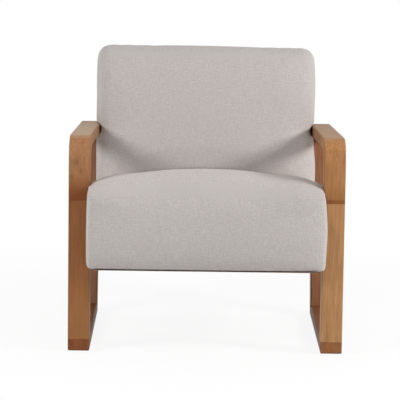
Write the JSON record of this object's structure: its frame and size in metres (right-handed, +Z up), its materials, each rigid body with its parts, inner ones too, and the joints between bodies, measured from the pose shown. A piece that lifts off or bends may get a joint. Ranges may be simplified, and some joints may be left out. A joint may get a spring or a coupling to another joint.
{
  "type": "armchair",
  "caption": "Low lounge chair: closed-loop timber side frames with rounded arm corners carry a thick crowned seat and a leaning upholstered back.",
  "frame": {"origin": "on the floor, in the chair's middle plane, halfway between its foremost and rearmost points", "axes": "+Z up, the chair faces -Y, +X is the right side as seen from the front"},
  "size_m": [0.7, 0.8016, 0.7367],
  "materials": {
    "timber": "warm brown stain under a satin lacquer",
    "inner_timber": "planed, unfinished",
    "upholstery": "plain weave, heathered warm grey",
    "foam": "open cell foam",
    "lining": "non-woven lining",
    "webbing": "woven elastic webbing",
    "fittings": "zinc plated",
    "glide": "moulded"
  },
  "bodies": {
    "root": {"front_leg_left": "timber", "arm_corner_left": "timber", "armrest_left": "timber", "rear_leg_left": "timber", "runner_left": "timber", "front_foot_tenon_left": "inner_timber", "front_seam_tenon_left": "inner_timber", "arm_joint_tenon_left": "inner_timber", "rear_top_tenon_left": "inner_timber", "rear_foot_tenon_left": "inner_timber", "seat_side_rail_left": "inner_timber", "back_stile_left": "inner_timber", "front_glide_left": "glide", "rear_glide_left": "glide", "seat_bolt_left": "fittings", "seat_insert_left": "fittings", "back_bolt_lower_left": "fittings", "back_insert_lower_left": "fittings", "back_bolt_upper_left": "fittings", "back_insert_upper_left": "fittings", "seat_to_back_bolt_left": "fittings", "front_leg_right": "timber", "arm_corner_right": "timber", "armrest_right": "timber", "rear_leg_right": "timber", "runner_right": "timber", "front_foot_tenon_right": "inner_timber", "front_seam_tenon_right": "inner_timber", "arm_joint_tenon_right": "inner_timber", "rear_top_tenon_right": "inner_timber", "rear_foot_tenon_right": "inner_timber", "seat_side_rail_right": "inner_timber", "back_stile_right": "inner_timber", "front_glide_right": "glide", "rear_glide_right": "glide", "seat_bolt_right": "fittings", "seat_insert_right": "fittings", "back_bolt_lower_right": "fittings", "back_insert_lower_right": "fittings", "back_bolt_upper_right": "fittings", "back_insert_upper_right": "fittings", "seat_to_back_bolt_right": "fittings", "seat_front_rail": "inner_timber", "seat_rear_rail": "inner_timber", "back_bottom_rail": "inner_timber", "back_top_rail": "inner_timber", "seat_web_1": "webbing", "seat_web_2": "webbing", "seat_web_3": "webbing", "seat_web_4": "webbing", "back_web_1": "webbing", "back_web_2": "webbing", "back_web_3": "webbing", "seat_cover": "upholstery", "back_cover": "upholstery", "back_panel": "upholstery", "seat_foam": "foam", "back_foam": "foam", "seat_dust_cover": "lining"}
  },
  "joints": []
}
